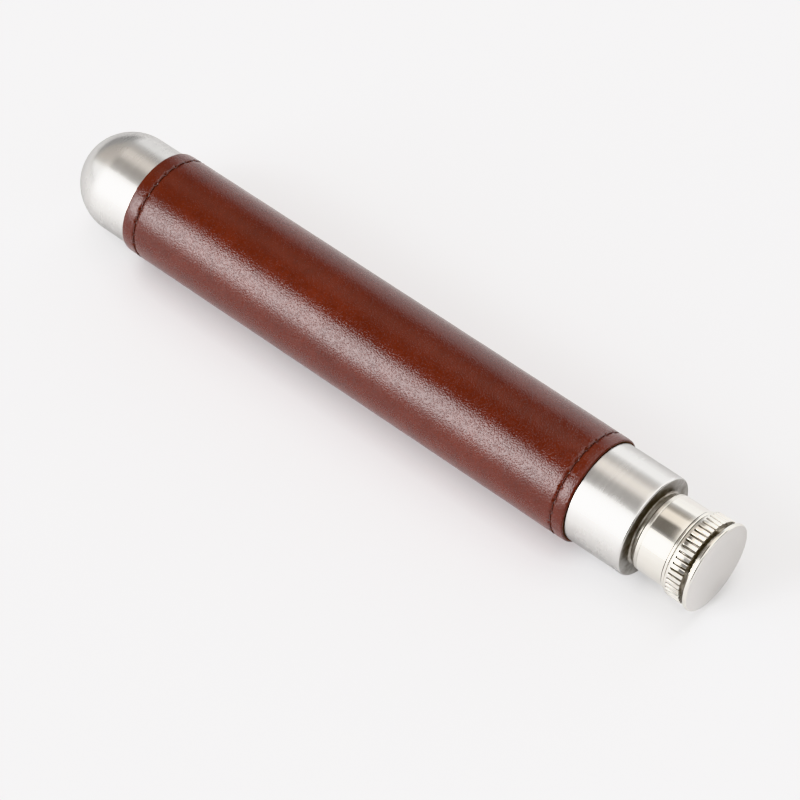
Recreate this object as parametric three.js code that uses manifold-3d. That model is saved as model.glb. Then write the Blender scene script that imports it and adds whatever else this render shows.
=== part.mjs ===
// A slim tube-shaped hip flask lying on its side: a stainless tube with a domed end, a leather
// wrap sewn along its underside, and a screw cap with a knurled ring and a flat disc top.
// Millimetres, +Z up. The tube's axis is level along X, the cap points to +X, and the origin is
// on the resting surface under the middle of the flask.
import * as THREE from "three";
import { mergeVertices } from "three/addons/utils/BufferGeometryUtils.js";
import Module from "manifold-3d";

const wasm = await Module();
wasm.setup();

// ---- driving dimensions ----
const TUBE_R = 12.4;
const TUBE_WALL = 0.6;
const TUBE_LENGTH = 154.2;
const DOME_DEPTH = 12.6;
const DOME_TUBE_SHOWING = 8.9;
const FIT = 0.05;
const END_SKIRT = 4;
const END_WALL = 0.6;
const DOME_TIP_WALL = 0.7;

const LINING_THICK = 0.15;
const LEATHER_THICK = 0.55;
const WRAP_LENGTH = 131.6;
const WRAP_R = TUBE_R + FIT + LINING_THICK + FIT + LEATHER_THICK;
const SEAM_HALF_WIDTH = 3;
const SEAM_BLEND = 1.6;
const SEAM_FLAP_DROP = 1;
const EDGE_ROUND = 0.2;
const LINING_BACK = 0.25;

const STITCH_PITCH = 3.5;
const STITCH_INSETS = [3.75, 3.25];
const THREAD_R = 0.2;
const THREAD_GROOVE_HALF = 0.42;
const HEM_GROOVE_DEPTH = 0.4;
const HEM_STITCHES = 21;
const HEM_FROM_DEG = -72;
const HEM_TO_DEG = 246;
const HEM_THREAD_DEPTH = 0.15;
const HEM_THREAD_LIFT = 0.12;
const SEAM_GROOVE_DEPTH = 0.48;
const SEAM_STITCH_Y = 1.6;
const SEAM_THREAD_INSET = 1.2;
const SEAM_THREAD_DEPTH = 0.25;
const SEAM_THREAD_LIFT = 0.03;

const RIM_ROUND = 0.7;
const PLATE_THICK = 0.9;
const SHOULDER_DEPTH = 1.4;
const SPIGOT_DEPTH = 1.6;
const SPIGOT_R = 6.5;
const MOUTH_R = 5.2;
const STEM_R = 8.8;
const STEM_TOP = 1.3;
const FLANGE_R = 9.6;
const FLANGE_TOP = 2.6;
const FLANGE_BEVEL = 0.15;
const SOLDER_LEG = 0.45;
const THREAD_CORE_R = 7;
const LIP = 12;
const LIP_BEVEL = 0.5;
const MOUTH_BEVEL = 0.3;
const PITCH = 2.5;
const RIDGE_INSET = 1.1;
const NECK_RIDGE_R = 0.6;
const NECK_RIDGE_TURNS = [0, 2.5];

const CAP_START = 2.8;
const CAP_R = 9.7;
const CAP_BORE_R = 7.85;
const CAP_RIDGE_R = 0.55;
const CAP_RIDGE_TURNS = [-0.3, 2.2];
const CAP_BEVEL = 0.2;
const BEAD_START = 9.5;
const BEAD_R = 10;
const KNURL_START = 10.65;
const KNURL_END = 14.85;
const KNURL_R = 10.6;
const KNURL_LAND = 0.55;
const KNURL_DEPTH = 0.45;
const RIBS = 46;
const CORE_R = 9.2;
const GROOVE_R = 9;
const SOCKET_R = 5;
const SOCKET_DEPTH = 1.5;
const DISC_START = 16.2;
const DISC_THICK = 0.9;
const DISC_R = 11;
const DISC_SPIGOT = 1.4;
const DISC_BACK_BEVEL = 0.15;
const DISC_FACE_BEVEL = 0.2;
const LINER_THICK = 1.2;
const LINER_R = 7.5;

const ROUND = 40;

// ---- places along the axis, from the tube's dome end to the cap's face ----
const FLASK_LENGTH = DOME_DEPTH + TUBE_LENGTH + SHOULDER_DEPTH + DISC_START + DISC_THICK;
const DOME_START = -FLASK_LENGTH / 2 + DOME_DEPTH;
const TUBE_END = DOME_START + TUBE_LENGTH;
const SHOULDER = TUBE_END + SHOULDER_DEPTH;
const WRAP_START = DOME_START + DOME_TUBE_SHOWING;
const WRAP_END = WRAP_START + WRAP_LENGTH;
const LINER_START = LIP + FIT;
const CAP_CEILING = LINER_START + LINER_THICK + FIT;
const INNER_R = TUBE_R - TUBE_WALL;

// ---- helpers ----

// A closed triangle mesh becomes a solid, with its faces turned outwards.
function solid(geometry) {
  const bare = geometry.clone();
  bare.deleteAttribute("normal");
  bare.deleteAttribute("uv");
  const merged = mergeVertices(bare, 1e-4);
  const position = merged.attributes.position;
  const index = merged.index.array;
  const corner = [new THREE.Vector3(), new THREE.Vector3(), new THREE.Vector3()];
  const kept = [];
  let volume = 0;
  for (let i = 0; i < index.length; i += 3) {
    const [a, b, c] = [index[i], index[i + 1], index[i + 2]];
    if (a === b || b === c || c === a) continue;
    kept.push(a, b, c);
    corner.forEach((v, k) => v.fromBufferAttribute(position, index[i + k]));
    volume += corner[0].dot(corner[1].clone().cross(corner[2]));
  }
  if (volume < 0) {
    for (let i = 0; i < kept.length; i += 3) {
      [kept[i], kept[i + 1]] = [kept[i + 1], kept[i]];
    }
  }
  return new wasm.Manifold(new wasm.Mesh({
    numProp: 3,
    vertProperties: new Float32Array(position.array),
    triVerts: new Uint32Array(kept),
  }));
}

function geometryOf(body) {
  const { vertProperties, triVerts, numProp } = body.getMesh();
  const count = vertProperties.length / numProp;
  const flat = new Float32Array(count * 3);
  for (let i = 0; i < count; i += 1) {
    flat.set(vertProperties.subarray(i * numProp, i * numProp + 3), i * 3);
  }
  const geometry = new THREE.BufferGeometry();
  geometry.setAttribute("position", new THREE.BufferAttribute(flat, 3));
  geometry.setIndex(new THREE.BufferAttribute(new Uint32Array(triVerts), 1));
  geometry.computeVertexNormals();
  return geometry;
}

// Turns an outline of [x, radius] points about the X axis. It closes on itself, or starts and
// ends on the axis.
function turned(outline, segments = ROUND) {
  const points = outline.map(([x, r]) => new THREE.Vector2(r, x));
  if (outline[0][1] > 0) {
    points.push(points[0].clone());
  }
  const geometry = new THREE.LatheGeometry(points, segments);
  geometry.rotateZ(-Math.PI / 2);
  return solid(geometry);
}

// A plain ring of [x, radius] limits.
function ring(x0, x1, r0, r1, segments = ROUND) {
  return turned([[x0, r0], [x0, r1], [x1, r1], [x1, r0]], segments);
}

// A prism of (y, z) outline points along X.
function prism(outline, x0, x1) {
  const shape = new THREE.Shape(outline.map(([y, z]) => new THREE.Vector2(y, z)));
  const geometry = new THREE.ExtrudeGeometry(shape, { depth: x1 - x0, bevelEnabled: false });
  geometry.rotateX(Math.PI / 2);
  geometry.rotateZ(Math.PI / 2);
  geometry.translate(x0, 0, 0);
  return solid(geometry);
}

class Helix extends THREE.Curve {
  constructor(radius, start, fromTurn, toTurn) {
    super();
    Object.assign(this, { radius, start, fromTurn, toTurn });
  }

  getPoint(t, target = new THREE.Vector3()) {
    const turn = this.fromTurn + (this.toTurn - this.fromTurn) * t;
    const angle = turn * Math.PI * 2;
    const x = this.start + turn * PITCH;
    return target.set(x, this.radius * Math.cos(angle), this.radius * Math.sin(angle));
  }
}

// A round-sectioned bar along a curve.
function bar(curve, radius, sides, steps) {
  const section = new THREE.Shape();
  for (let i = 0; i < sides; i += 1) {
    const angle = (i / sides) * Math.PI * 2;
    const point = [radius * Math.cos(angle), radius * Math.sin(angle)];
    if (i === 0) section.moveTo(...point);
    else section.lineTo(...point);
  }
  section.closePath();
  return solid(new THREE.ExtrudeGeometry(section, { steps, extrudePath: curve }));
}

// A helical thread ridge that climbs one pitch a turn.
function threadRidge(radius, ridgeR, start, [fromTurn, toTurn]) {
  const steps = Math.round((toTurn - fromTurn) * 20);
  return bar(new Helix(radius, start, fromTurn, toTurn), ridgeR, 8, steps);
}

const flask = new THREE.Group();

function addPart(name, body, material) {
  const mesh = new THREE.Mesh(geometryOf(body), material.clone());
  mesh.name = name;
  mesh.position.z = WRAP_R;
  flask.add(mesh);
}

// ---- materials ----
const steel = new THREE.MeshStandardMaterial({ color: 0xc9c6c0, roughness: 0.28, metalness: 1 });
const nickel = new THREE.MeshStandardMaterial({ color: 0xd0c8bb, roughness: 0.2, metalness: 1 });
const leather = new THREE.MeshStandardMaterial({ color: 0x6e2f20, roughness: 0.42, metalness: 0 });
const suede = new THREE.MeshStandardMaterial({ color: 0x4a3a28, roughness: 0.9, metalness: 0 });
const thread = new THREE.MeshStandardMaterial({ color: 0x2c1410, roughness: 0.7, metalness: 0 });
const silicone = new THREE.MeshStandardMaterial({ color: 0xe6e4de, roughness: 0.5, metalness: 0 });

// ---- body tube ----
addPart("body_tube", ring(DOME_START, TUBE_END, INNER_R, TUBE_R), steel);

// ---- dome end: a pressed half-round cap whose skirt fits inside the tube ----
function domeArc(radius, depth, rings) {
  const arc = [];
  for (let i = 0; i <= rings; i += 1) {
    const angle = (i / rings) * (Math.PI / 2);
    const x = DOME_START - FIT - depth * Math.sin(angle);
    arc.push([x, i === rings ? 0 : radius * Math.cos(angle)]);
  }
  return arc;
}
const domeOuter = domeArc(TUBE_R, DOME_DEPTH - FIT, 8);
const SKIRT_R = INNER_R - FIT;
const SKIRT_INNER_R = INNER_R - END_WALL;
const domeInner = domeArc(SKIRT_INNER_R, DOME_DEPTH - DOME_TIP_WALL, 6);
addPart("dome_end", turned([
  ...domeOuter.slice().reverse(),
  [DOME_START - FIT, SKIRT_R],
  [DOME_START + END_SKIRT, SKIRT_R],
  [DOME_START + END_SKIRT, SKIRT_INNER_R],
  ...domeInner,
]), steel);

// ---- shoulder plate: a pressed cup with a rounded rim, skirt inside the tube ----
const rimCorner = [];
for (let i = 0; i <= 3; i += 1) {
  const angle = (i / 3) * (Math.PI / 2);
  rimCorner.push([
    SHOULDER - RIM_ROUND + RIM_ROUND * Math.sin(angle),
    TUBE_R - RIM_ROUND + RIM_ROUND * Math.cos(angle),
  ]);
}
addPart("shoulder_plate", turned([
  [TUBE_END + FIT, SKIRT_R],
  [TUBE_END + FIT, TUBE_R],
  ...rimCorner,
  [SHOULDER, SPIGOT_R + FIT],
  [SHOULDER - PLATE_THICK, SPIGOT_R + FIT],
  [SHOULDER - PLATE_THICK, SKIRT_INNER_R],
  [TUBE_END - END_SKIRT, SKIRT_INNER_R],
  [TUBE_END - END_SKIRT, SKIRT_R],
]), steel);

// ---- neck: spigot through the plate, stem, flange and a threaded spout ----
const neckBlank = turned([
  [SHOULDER - SPIGOT_DEPTH, MOUTH_R],
  [SHOULDER - SPIGOT_DEPTH, SPIGOT_R],
  [SHOULDER + FIT, SPIGOT_R],
  [SHOULDER + FIT, STEM_R],
  [SHOULDER + STEM_TOP, STEM_R],
  [SHOULDER + STEM_TOP, FLANGE_R - FLANGE_BEVEL],
  [SHOULDER + STEM_TOP + FLANGE_BEVEL, FLANGE_R],
  [SHOULDER + FLANGE_TOP - FLANGE_BEVEL, FLANGE_R],
  [SHOULDER + FLANGE_TOP, FLANGE_R - FLANGE_BEVEL],
  [SHOULDER + FLANGE_TOP, THREAD_CORE_R],
  [SHOULDER + LIP - LIP_BEVEL, THREAD_CORE_R],
  [SHOULDER + LIP, THREAD_CORE_R - LIP_BEVEL],
  [SHOULDER + LIP, MOUTH_R + MOUTH_BEVEL],
  [SHOULDER + LIP - MOUTH_BEVEL, MOUTH_R],
]);
const RIDGE_START = SHOULDER + FLANGE_TOP + RIDGE_INSET;
const neckRidge = threadRidge(THREAD_CORE_R, NECK_RIDGE_R, RIDGE_START, NECK_RIDGE_TURNS);
addPart("neck", neckBlank.add(neckRidge), steel);

// ---- solder fillet round the foot of the neck ----
const FILLET_R = STEM_R + FIT;
addPart("neck_solder_ring", turned([
  [SHOULDER + FIT / 2, FILLET_R],
  [SHOULDER + FIT / 2, FILLET_R + SOLDER_LEG],
  [SHOULDER + SOLDER_LEG * 0.35, FILLET_R + SOLDER_LEG * 0.8],
  [SHOULDER + SOLDER_LEG * 0.8, FILLET_R + SOLDER_LEG * 0.35],
  [SHOULDER + SOLDER_LEG, FILLET_R],
]), steel);

// ---- thin split-leather lining, glued to the tube under the wrap ----
const LINING_R = TUBE_R + FIT;
addPart("wrap_lining", ring(
  WRAP_START + LINING_BACK,
  WRAP_END - LINING_BACK,
  LINING_R,
  LINING_R + LINING_THICK,
), suede);

// ---- leather wrap: rolled skin, closed by an overlapped seam pressed flat underneath ----
const LEATHER_INNER_R = WRAP_R - LEATHER_THICK;
const rolledSkin = turned([
  [WRAP_START, LEATHER_INNER_R],
  [WRAP_START, WRAP_R - EDGE_ROUND],
  [WRAP_START + EDGE_ROUND, WRAP_R],
  [WRAP_END - EDGE_ROUND, WRAP_R],
  [WRAP_END, WRAP_R - EDGE_ROUND],
  [WRAP_END, LEATHER_INNER_R],
]);
const CUT_PAST = 1;
const HEM_STITCH_XS = [WRAP_START + STITCH_INSETS[0], WRAP_END - STITCH_INSETS[1]];
const hemGrooves = HEM_STITCH_XS.map((x) => ring(
  x - THREAD_GROOVE_HALF,
  x + THREAD_GROOVE_HALF,
  WRAP_R - HEM_GROOVE_DEPTH,
  WRAP_R + CUT_PAST,
));
const BLEND_Y = -SEAM_HALF_WIDTH - SEAM_BLEND;
const seamKeel = prism([
  [BLEND_Y, -Math.sqrt(WRAP_R ** 2 - BLEND_Y ** 2)],
  [-SEAM_HALF_WIDTH, -WRAP_R],
  [SEAM_HALF_WIDTH, -WRAP_R],
  [SEAM_HALF_WIDTH, -LEATHER_INNER_R],
  [BLEND_Y, -LEATHER_INNER_R + SEAM_FLAP_DROP],
], WRAP_START, WRAP_END);
const tubeSpace = ring(WRAP_START - CUT_PAST, WRAP_END + CUT_PAST, 1, LEATHER_INNER_R);
const SEAM_GROOVE_TOP = -WRAP_R + SEAM_GROOVE_DEPTH;
const seamGroove = prism([
  [SEAM_STITCH_Y - THREAD_GROOVE_HALF, -WRAP_R - CUT_PAST],
  [SEAM_STITCH_Y + THREAD_GROOVE_HALF, -WRAP_R - CUT_PAST],
  [SEAM_STITCH_Y + THREAD_GROOVE_HALF, SEAM_GROOVE_TOP],
  [SEAM_STITCH_Y - THREAD_GROOVE_HALF, SEAM_GROOVE_TOP],
], WRAP_START + 1, WRAP_END - 1);
let skin = rolledSkin;
hemGrooves.forEach((groove) => {
  skin = skin.subtract(groove);
});
skin = skin.add(seamKeel).subtract(tubeSpace).subtract(seamGroove);
addPart("leather_wrap", skin, leather);

// ---- stitching: one length of thread per row, dipping between the stitches ----
class HemThread extends THREE.Curve {
  constructor(x, stitches) {
    super();
    Object.assign(this, { x, stitches });
  }

  getPoint(t, target = new THREE.Vector3()) {
    const angle = THREE.MathUtils.degToRad(THREE.MathUtils.lerp(HEM_FROM_DEG, HEM_TO_DEG, t));
    const lift = Math.abs(Math.sin(t * this.stitches * Math.PI));
    const r = WRAP_R - HEM_THREAD_DEPTH + HEM_THREAD_LIFT * lift;
    return target.set(this.x, r * Math.cos(angle), r * Math.sin(angle));
  }
}

class SeamThread extends THREE.Curve {
  constructor(x0, x1, stitches) {
    super();
    Object.assign(this, { x0, x1, stitches });
  }

  getPoint(t, target = new THREE.Vector3()) {
    const lift = Math.abs(Math.sin(t * this.stitches * Math.PI));
    const x = THREE.MathUtils.lerp(this.x0, this.x1, t);
    const z = -WRAP_R + SEAM_THREAD_DEPTH - SEAM_THREAD_LIFT * lift;
    return target.set(x, SEAM_STITCH_Y, z);
  }
}

const SEAM_STITCHES = Math.floor((WRAP_LENGTH - 2 * SEAM_THREAD_INSET) / STITCH_PITCH);
const HEM_NAMES = ["hem_stitching_dome_end", "hem_stitching_neck_end"];
HEM_NAMES.forEach((name, i) => {
  const row = new HemThread(HEM_STITCH_XS[i], HEM_STITCHES);
  addPart(name, bar(row, THREAD_R, 5, HEM_STITCHES * 4), thread);
});
const seamRow = new SeamThread(
  WRAP_START + SEAM_THREAD_INSET,
  WRAP_END - SEAM_THREAD_INSET,
  SEAM_STITCHES,
);
addPart("seam_stitching", bar(seamRow, THREAD_R, 5, SEAM_STITCHES * 2), thread);

// ---- cap liner: soft seal on the spout's lip ----
addPart("cap_liner", turned([
  [SHOULDER + LINER_START, 0],
  [SHOULDER + LINER_START, LINER_R],
  [SHOULDER + LINER_START + LINER_THICK, LINER_R],
  [SHOULDER + LINER_START + LINER_THICK, 0],
]), silicone);

// ---- cap shell: threaded skirt, bead, seat for the knurled ring and a socket on top ----
const SHELL_TOP = DISC_START - FIT;
const capBlank = turned([
  [SHOULDER + CAP_CEILING, 0],
  [SHOULDER + CAP_CEILING, CAP_BORE_R],
  [SHOULDER + CAP_START, CAP_BORE_R],
  [SHOULDER + CAP_START, CAP_R - CAP_BEVEL],
  [SHOULDER + CAP_START + CAP_BEVEL, CAP_R],
  [SHOULDER + BEAD_START, CAP_R],
  [SHOULDER + BEAD_START, BEAD_R],
  [SHOULDER + KNURL_START - FIT, BEAD_R],
  [SHOULDER + KNURL_START - FIT, CORE_R],
  [SHOULDER + KNURL_END, CORE_R],
  [SHOULDER + KNURL_END, GROOVE_R],
  [SHOULDER + SHELL_TOP, GROOVE_R],
  [SHOULDER + SHELL_TOP, SOCKET_R],
  [SHOULDER + SHELL_TOP - SOCKET_DEPTH, SOCKET_R],
  [SHOULDER + SHELL_TOP - SOCKET_DEPTH, 0],
]);
const capRidge = threadRidge(CAP_BORE_R, CAP_RIDGE_R, RIDGE_START + PITCH / 2, CAP_RIDGE_TURNS);
addPart("cap_shell", capBlank.add(capRidge), nickel);

// ---- knurled ring pressed on the shell: each rib has a flat crest and sloping sides ----
const RIB_PROFILE = [[-0.3, 0], [0.3, 0], [0.42, -KNURL_DEPTH], [0.58, -KNURL_DEPTH]];
const ribOutline = new THREE.Shape();
for (let i = 0; i < RIBS; i += 1) {
  RIB_PROFILE.forEach(([step, depth], k) => {
    const angle = ((i + step) / RIBS) * Math.PI * 2;
    const r = KNURL_R + depth;
    const point = [r * Math.cos(angle), r * Math.sin(angle)];
    if (i === 0 && k === 0) ribOutline.moveTo(...point);
    else ribOutline.lineTo(...point);
  });
}
ribOutline.closePath();
const ribGeometry = new THREE.ExtrudeGeometry(ribOutline, {
  depth: KNURL_END - KNURL_START - KNURL_LAND,
  bevelEnabled: false,
});
ribGeometry.rotateY(Math.PI / 2);
ribGeometry.translate(SHOULDER + KNURL_START + KNURL_LAND, 0, 0);
const LAND_STEP = 0.1;
const knurlLand = ring(
  SHOULDER + KNURL_START,
  SHOULDER + KNURL_START + KNURL_LAND + LAND_STEP,
  1,
  KNURL_R - LAND_STEP,
);
const knurlBore = turned([
  [SHOULDER + KNURL_START - CUT_PAST, 0],
  [SHOULDER + KNURL_START - CUT_PAST, CORE_R + FIT],
  [SHOULDER + KNURL_END + CUT_PAST, CORE_R + FIT],
  [SHOULDER + KNURL_END + CUT_PAST, 0],
]);
addPart("cap_knurled_ring", knurlLand.add(solid(ribGeometry)).subtract(knurlBore), nickel);

// ---- cap top disc: a bevelled plate with a spigot pressed into the shell ----
const DISC_END = DISC_START + DISC_THICK;
addPart("cap_top_disc", turned([
  [SHOULDER + DISC_START - DISC_SPIGOT, 0],
  [SHOULDER + DISC_START - DISC_SPIGOT, SOCKET_R - FIT],
  [SHOULDER + DISC_START, SOCKET_R - FIT],
  [SHOULDER + DISC_START, DISC_R - DISC_BACK_BEVEL],
  [SHOULDER + DISC_START + DISC_BACK_BEVEL, DISC_R],
  [SHOULDER + DISC_END - DISC_FACE_BEVEL, DISC_R],
  [SHOULDER + DISC_END, DISC_R - DISC_FACE_BEVEL],
  [SHOULDER + DISC_END, 0],
]), nickel);

export default flask;
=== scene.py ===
"""A slim tube-shaped hip flask: satin steel tube with a domed end, a stitched leather wrap,
and a turned and knurled nickel screw cap. Everything is in metres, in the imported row's frame:
the tube's axis is level along X, the cap points to +X and the flask lies on Z = 0."""

import math

import bpy
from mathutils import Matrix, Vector, noise


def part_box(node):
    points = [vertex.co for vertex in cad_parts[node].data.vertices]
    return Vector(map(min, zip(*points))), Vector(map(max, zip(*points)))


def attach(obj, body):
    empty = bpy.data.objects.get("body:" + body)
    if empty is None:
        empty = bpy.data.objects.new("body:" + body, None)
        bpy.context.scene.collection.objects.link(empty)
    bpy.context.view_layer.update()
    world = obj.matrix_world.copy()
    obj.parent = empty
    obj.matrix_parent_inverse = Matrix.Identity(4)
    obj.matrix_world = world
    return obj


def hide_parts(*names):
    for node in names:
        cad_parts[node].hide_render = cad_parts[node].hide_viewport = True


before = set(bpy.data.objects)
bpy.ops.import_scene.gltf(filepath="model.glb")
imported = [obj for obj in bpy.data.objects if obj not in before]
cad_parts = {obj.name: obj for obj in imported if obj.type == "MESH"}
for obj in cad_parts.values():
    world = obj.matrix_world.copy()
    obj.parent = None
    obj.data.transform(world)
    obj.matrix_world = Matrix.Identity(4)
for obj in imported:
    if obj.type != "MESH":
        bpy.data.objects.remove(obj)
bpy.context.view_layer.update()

MM = 0.001
TAU = 2 * math.pi

# ---------------------------------------------------------------- places from the frame


def span_x(node):
    low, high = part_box(node)
    return low[0], high[0]


def radius_of(node):
    low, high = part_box(node)
    return (high[1] - low[1]) / 2


TUBE_START, TUBE_END = span_x("body_tube")
TUBE_R = radius_of("body_tube")
AXIS_Z = (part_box("body_tube")[0][2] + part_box("body_tube")[1][2]) / 2
DOME_TIP = span_x("dome_end")[0]
SHOULDER = span_x("shoulder_plate")[1]
WRAP_START, WRAP_END = span_x("leather_wrap")
WRAP_R = AXIS_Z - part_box("leather_wrap")[0][2]
LINING_START, LINING_END = span_x("wrap_lining")
HEM_XS = {
    end: sum(span_x(f"hem_stitching_{end}")) / 2 for end in ("dome_end", "neck_end")
}
SEAM_Y = (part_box("seam_stitching")[0][1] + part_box("seam_stitching")[1][1]) / 2
SEAM_START, SEAM_END = span_x("seam_stitching")
NECK_BOTTOM, LIP = span_x("neck")
FLANGE_R = radius_of("neck")
FILLET_TOP = span_x("neck_solder_ring")[1]
FILLET_R = radius_of("neck_solder_ring")
CAP_START, SHELL_TOP = span_x("cap_shell")
BEAD_R = radius_of("cap_shell")
KNURL_START, KNURL_END = span_x("cap_knurled_ring")
KNURL_R = radius_of("cap_knurled_ring")
LINER_START, LINER_END = span_x("cap_liner")
LINER_R = radius_of("cap_liner")
DISC_ROOT, CAP_END = span_x("cap_top_disc")
DISC_R = radius_of("cap_top_disc")

# Sizes the boxes don't give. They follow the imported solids, where those have them.
WALL = 0.6 * MM
FIT = 0.05 * MM
LAP = 4 * MM
TUBE_INNER_R = TUBE_R - WALL
DOME_TIP_WALL = 0.7 * MM
PLATE_THICK = 0.9 * MM
MOUTH_R = 5.2 * MM
STEM_R = 8.8 * MM
STEM_TOP = SHOULDER + 1.3 * MM
THREAD_CORE_R = 7.0 * MM
THREAD_CREST = 0.6 * MM
SPIGOT_R = THREAD_CORE_R - 0.45 * MM
SCREW_PITCH = 2.5 * MM
NECK_TURNS = 2.5
RIDGE_FROM = SHOULDER + 3.7 * MM
CAP_R = 9.7 * MM
CAP_BORE_R = 7.85 * MM
CAP_CREST = 0.55 * MM
CAP_TURNS = 2.2
BEAD_START = SHOULDER + 9.5 * MM
CORE_R = 9.2 * MM
GROOVE_R = 9.0 * MM
CAP_CEILING = LINER_END + FIT
DISC_START = SHELL_TOP + FIT
RIBS = 46
LEATHER_INNER_R = WRAP_R - 0.55 * MM
SEAM_HALF_WIDTH = 3.0 * MM
HEM_STITCH = 3.5 * MM
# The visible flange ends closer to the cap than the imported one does.
FLANGE_TOP = CAP_START - 0.06 * MM
# A place counts as on a face when it's this near.
SLACK = 0.01 * MM

# ---------------------------------------------------------------- mesh helpers

# At most this share of a side is taken by the rounding of a corner.
CORNER_SHARE = 0.45
# A ring on the axis has this radius, so that its quads stay quads.
ON_AXIS_R = 1e-7


def fillet(outline, steps=4):
    """Rounds the corners of an outline of (x, r, corner radius) points into (x, r) points."""
    rounded = []
    count = len(outline)
    for i, (x, r, size) in enumerate(outline):
        here = Vector((x, r))
        if size <= 0 or i in (0, count - 1):
            rounded.append((x, r))
            continue
        back = Vector(outline[i - 1][:2]) - here
        ahead = Vector(outline[i + 1][:2]) - here
        reach = min(size, back.length * CORNER_SHARE, ahead.length * CORNER_SHARE)
        start = here + back.normalized() * reach
        end = here + ahead.normalized() * reach
        for k in range(steps + 1):
            t = k / steps
            point = start * (1 - t) ** 2 + here * 2 * t * (1 - t) + end * t * t
            rounded.append((point.x, point.y))
    return rounded


def add_grid(verts, faces, rows, closed_rows=False):
    """Joins rows of points, each a closed ring, into quads."""
    first = len(verts)
    ring = len(rows[0])
    for row in rows:
        verts.extend(row)
    last = len(rows) if closed_rows else len(rows) - 1
    for i in range(last):
        a = first + i * ring
        b = first + ((i + 1) % len(rows)) * ring
        for j in range(ring):
            k = (j + 1) % ring
            faces.append((a + j, a + k, b + k, b + j))


def ring_points(x, radius, segments):
    angles = [TAU * j / segments for j in range(segments)]
    return [(x, radius * math.cos(a), AXIS_Z + radius * math.sin(a)) for a in angles]


def make_object(name, verts, faces, material, sharp_deg=32):
    mesh = bpy.data.meshes.new(name)
    mesh.from_pydata([tuple(v) for v in verts], [], faces)
    mesh.validate()
    mesh.shade_smooth()
    mesh.set_sharp_from_angle(angle=math.radians(sharp_deg))
    obj = bpy.data.objects.new(name, mesh)
    bpy.context.scene.collection.objects.link(obj)
    for entry in material if isinstance(material, (list, tuple)) else [material]:
        mesh.materials.append(entry)
    return obj


def from_rows(name, rows, material, closed=False, sharp_deg=32):
    verts, faces = [], []
    add_grid(verts, faces, rows, closed_rows=closed)
    return make_object(name, verts, faces, material, sharp_deg)


def turned(name, outline, material, segments=192, closed=True):
    """A surface turned about the axis. Its faces look outwards where the outline runs to -X."""
    rows = [ring_points(x, max(r, ON_AXIS_R), segments) for x, r in outline]
    return from_rows(name, rows, material, closed)


def mark(obj, name, values):
    """Gives each vertex a number that the material reads."""
    obj.data.attributes.new(name, "FLOAT", "POINT").data.foreach_set("value", values)


def mark_grime_and_shade(obj, how_much):
    """Marks where grime and painted shade sit on a turned piece, from each point's x and distance
    off the axis.
    """
    mark(obj, "grime_and_shade", [
        how_much(v.co.x, math.hypot(v.co.y, v.co.z - AXIS_Z)) for v in obj.data.vertices
    ])
    return obj


def place(obj, body, slot, *nodes):
    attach(obj, body)
    if nodes:
        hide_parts(*nodes)
    return obj


# ---------------------------------------------------------------- node helpers


class Nodes:
    """A short way to write the nodes of a material or of the world."""

    def __init__(self, owner, shader="Principled BSDF"):
        owner.use_nodes = True
        self.owner = owner
        self.tree = owner.node_tree
        self.shader = self.tree.nodes[shader]

    def node(self, kind, **settings):
        made = self.tree.nodes.new(kind)
        for key, value in settings.items():
            setattr(made, key, value)
        return made

    def link(self, source, target):
        self.tree.links.new(source, target)

    def fill(self, node, values):
        for key, value in values.items():
            if hasattr(value, "is_output"):
                self.link(value, node.inputs[key])
            else:
                node.inputs[key].default_value = value

    def set(self, **values):
        self.fill(self.shader, {k.replace("_", " "): v for k, v in values.items()})

    def math(self, operation, a, b=0.0):
        made = self.node("ShaderNodeMath", operation=operation)
        self.fill(made, {0: a, 1: b})
        return made.outputs[0]

    def map(self, value, low, high, to_low, to_high):
        made = self.node("ShaderNodeMapRange", clamp=True)
        self.fill(made, {0: value, 1: low, 2: high, 3: to_low, 4: to_high})
        return made.outputs[0]

    def spread(self, noise, to_low, to_high):
        """Maps the range where most of a noise's values are."""
        return self.map(noise, 0.3, 0.7, to_low, to_high)

    def mix(self, factor, a, b):
        made = self.node("ShaderNodeMix", data_type="RGBA")
        self.fill(made, {0: factor, 6: a, 7: b})
        return made.outputs[2]

    def fade(self, factor, a, b):
        made = self.node("ShaderNodeMix", data_type="FLOAT")
        self.fill(made, {0: factor, 2: a, 3: b})
        return made.outputs[0]

    def noise(self, vector, scale, detail=2.0, rough=0.5):
        made = self.node("ShaderNodeTexNoise")
        self.fill(made, {"Vector": vector, "Scale": scale, "Detail": detail, "Roughness": rough})
        return made.outputs[0]

    def cells(self, vector, scale):
        made = self.node("ShaderNodeTexVoronoi")
        self.fill(made, {"Vector": vector, "Scale": scale})
        return made.outputs["Distance"]

    def attribute(self, name):
        return self.node("ShaderNodeAttribute", attribute_name=name).outputs["Fac"]

    def here(self):
        return self.node("ShaderNodeTexCoord").outputs["Object"]

    def parts(self, vector):
        made = self.node("ShaderNodeSeparateXYZ")
        self.link(vector, made.inputs[0])
        return made.outputs[0], made.outputs[1], made.outputs[2]

    def vector(self, x, y, z):
        made = self.node("ShaderNodeCombineXYZ")
        self.fill(made, {0: x, 1: y, 2: z})
        return made.outputs[0]

    def bump(self, height, distance, strength=1.0, normal=None):
        made = self.node("ShaderNodeBump")
        self.fill(made, {"Strength": strength, "Distance": distance, "Height": height})
        if normal is not None:
            self.link(normal, made.inputs["Normal"])
        return made.outputs[0]

    def turned_place(self):
        """A turned surface's x, its distance from the axis, and its y."""
        x, y, z = self.parts(self.here())
        up = self.math("SUBTRACT", z, AXIS_Z)
        out = self.math("POWER", self.math("ADD", self.math("MULTIPLY", y, y),
                                           self.math("MULTIPLY", up, up)), 0.5)
        return x, out, y


def new_material(name):
    return Nodes(bpy.data.materials.new(name))
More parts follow.
